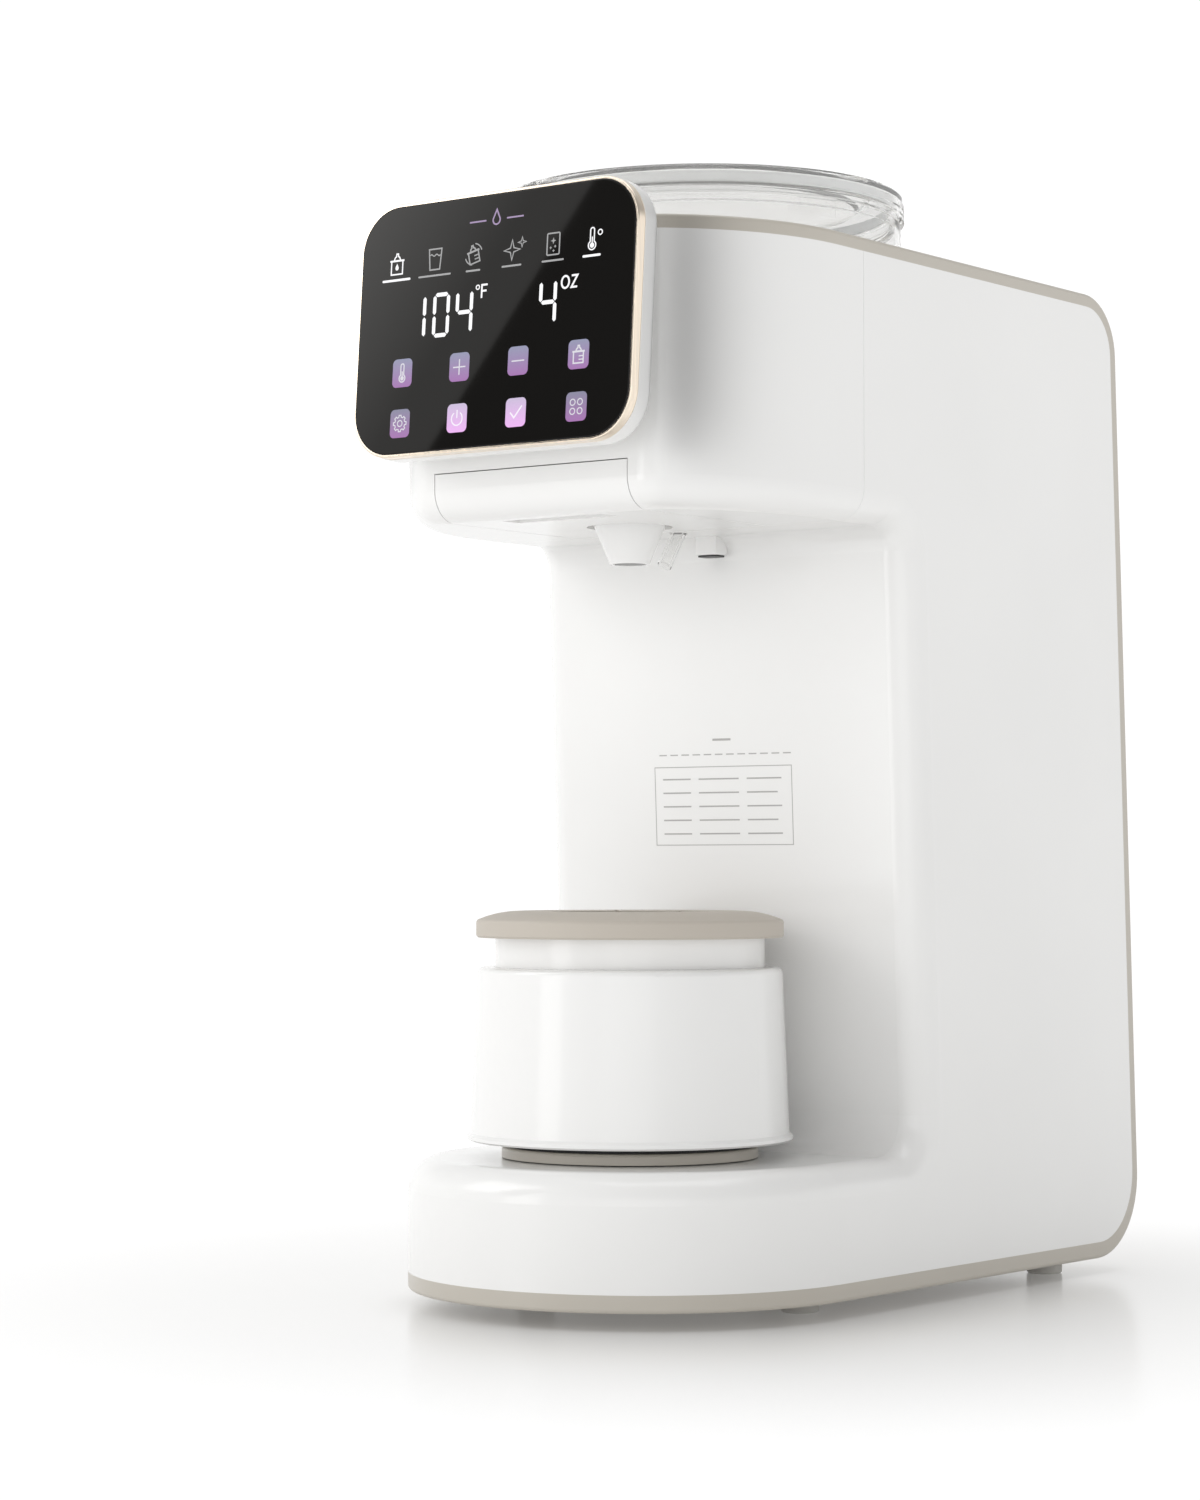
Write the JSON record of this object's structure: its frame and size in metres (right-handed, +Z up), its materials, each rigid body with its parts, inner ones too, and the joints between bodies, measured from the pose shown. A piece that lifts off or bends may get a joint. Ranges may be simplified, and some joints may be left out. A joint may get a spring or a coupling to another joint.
{
  "type": "formula dispenser",
  "caption": "Countertop machine that mixes infant formula: C-shaped body, tilted touch display, clear powder hopper, funnel drawer, water tank, and a bottle holder on a shaking turntable.",
  "frame": {"origin": "on the surface the machine stands on, under the middle of its outer box", "axes": "+Z up, the display and the round base front face -Y, +X to the right of a person facing the display"},
  "size_m": [0.1852, 0.3333, 0.4428],
  "materials": {
    "gloss_white": "glossy moulded white ABS",
    "greige_plastic": "satin greige ABS",
    "greige_silicone": "soft matt greige silicone",
    "grey_rubber": "pale grey rubber",
    "black_rubber": "matt black rubber",
    "champagne_metal": "polished champagne anodised rim",
    "black_glass": "black printed touch glass",
    "clear_plastic": "clear copolyester",
    "steel": "brushed stainless steel",
    "motor_steel": "zinc plated steel can",
    "heater_aluminium": "bare aluminium heater block",
    "brass_gear": "machined brass",
    "circuit_board": "green solder mask",
    "grey_plastic": "grey acetal and nylon",
    "black_plastic": "black nylon",
    "white_nylon": "white food-grade nylon",
    "clear_silicone": "milky silicone"
  },
  "bodies": {
    "housing": {"body_shell": "gloss_white", "head_front_shell": "gloss_white", "top_deck": "greige_plastic", "rear_cover": "greige_plastic", "base_plate": "greige_plastic", "rubber_feet": "grey_rubber", "case_screws": "steel", "display_housing": "gloss_white", "display_bezel": "champagne_metal", "display_glass": "black_glass", "display_board": "circuit_board", "drawer_rails": "grey_plastic", "water_spout": "clear_plastic", "sensor_pod": "gloss_white", "sensor_window": "black_plastic", "dosing_motor": "motor_steel", "drive_plate": "grey_plastic", "powder_chute": "grey_plastic", "tank_shelf": "grey_plastic", "tank_dock": "grey_plastic", "water_pump": "motor_steel", "water_heater": "heater_aluminium", "tank_hose": "clear_silicone", "pump_hose": "clear_silicone", "spout_hose": "clear_silicone", "control_board": "circuit_board", "board_standoffs": "grey_plastic", "power_supply": "grey_plastic", "power_inlet": "black_plastic", "turntable_bearing": "grey_plastic", "shaker_belt": "black_rubber", "shaker_motor": "motor_steel", "motor_bracket": "motor_steel"},
    "hopper": {"hopper": "clear_plastic", "dosing_cover": "white_nylon"},
    "hopper_lid": {"hopper_lid": "clear_plastic", "lid_seal": "clear_silicone"},
    "spindle": {"spindle": "steel", "spindle_coupler": "grey_plastic", "dosing_wheel": "white_nylon", "stirrer": "white_nylon"},
    "drive_gear": {"drive_gear": "grey_plastic", "drive_dog": "grey_plastic"},
    "motor_pinion": {"motor_pinion": "brass_gear"},
    "funnel_drawer": {"funnel_drawer": "gloss_white", "powder_nozzle": "gloss_white"},
    "water_tank": {"water_tank": "clear_plastic", "valve_spring": "steel"},
    "tank_lid": {"tank_lid": "greige_plastic"},
    "tank_valve": {"tank_valve": "grey_plastic", "valve_seal": "clear_silicone"},
    "turntable": {"turntable": "greige_plastic", "turntable_pulley": "grey_plastic"},
    "motor_pulley": {"motor_pulley": "grey_plastic"},
    "holder": {"holder_skirt": "gloss_white", "holder_foot": "black_rubber"},
    "cup": {"holder_cup": "gloss_white", "holder_ring": "greige_silicone"}
  },
  "joints": [
    {"name": "hopper_lift", "type": "slide", "parent": "housing", "child": "hopper", "axis": [0, 0, 1], "range_m": [0, 0.09]},
    {"name": "hopper_lid_lift", "type": "slide", "parent": "hopper", "child": "hopper_lid", "axis": [0, 0, 1], "range_m": [0, 0.03]},
    {"name": "spindle_spin", "type": "hinge", "parent": "hopper", "child": "spindle", "pos_m": [0, -0.0261, 0.36], "axis": [0, 0, 1], "continuous": true},
    {"name": "drive_gear_spin", "type": "hinge", "parent": "housing", "child": "drive_gear", "pos_m": [0, -0.0261, 0.333], "axis": [0, 0, 1], "continuous": true},
    {"name": "motor_pinion_spin", "type": "hinge", "parent": "housing", "child": "motor_pinion", "pos_m": [0.02819, 0.00749, 0.333], "axis": [0, 0, 1], "continuous": true},
    {"name": "funnel_drawer_slide", "type": "slide", "parent": "housing", "child": "funnel_drawer", "axis": [0, -1, 0], "range_m": [0, 0.085]},
    {"name": "tank_lift", "type": "slide", "parent": "housing", "child": "water_tank", "axis": [0, 0, 1], "range_m": [0, 0.22]},
    {"name": "tank_lid_lift", "type": "slide", "parent": "water_tank", "child": "tank_lid", "axis": [0, 0, 1], "range_m": [0, 0.03]},
    {"name": "tank_valve_lift", "type": "slide", "parent": "water_tank", "child": "tank_valve", "axis": [0, 0, 1], "range_m": [0, 0.004], "stiffness_N_per_m": 250, "springref_m": -0.004, "deforming": ["valve_spring"]},
    {"name": "turntable_spin", "type": "hinge", "parent": "housing", "child": "turntable", "pos_m": [0, -0.0755, 0.06], "axis": [0, 0, 1], "continuous": true},
    {"name": "motor_pulley_spin", "type": "hinge", "parent": "housing", "child": "motor_pulley", "pos_m": [0, 0.02, 0.028], "axis": [0, 0, 1], "continuous": true},
    {"name": "holder_lift", "type": "slide", "parent": "turntable", "child": "holder", "axis": [0, 0, 1], "range_m": [0, 0.05]},
    {"name": "cup_raise", "type": "slide", "parent": "holder", "child": "cup", "axis": [0, 0, 1], "range_m": [0, 0.0358]}
  ],
  "couplings": [
    {"joint": "drive_gear_spin", "follows": "spindle_spin", "ratio": 1},
    {"joint": "motor_pinion_spin", "follows": "spindle_spin", "ratio": -4},
    {"joint": "motor_pulley_spin", "follows": "turntable_spin", "ratio": 3}
  ]
}
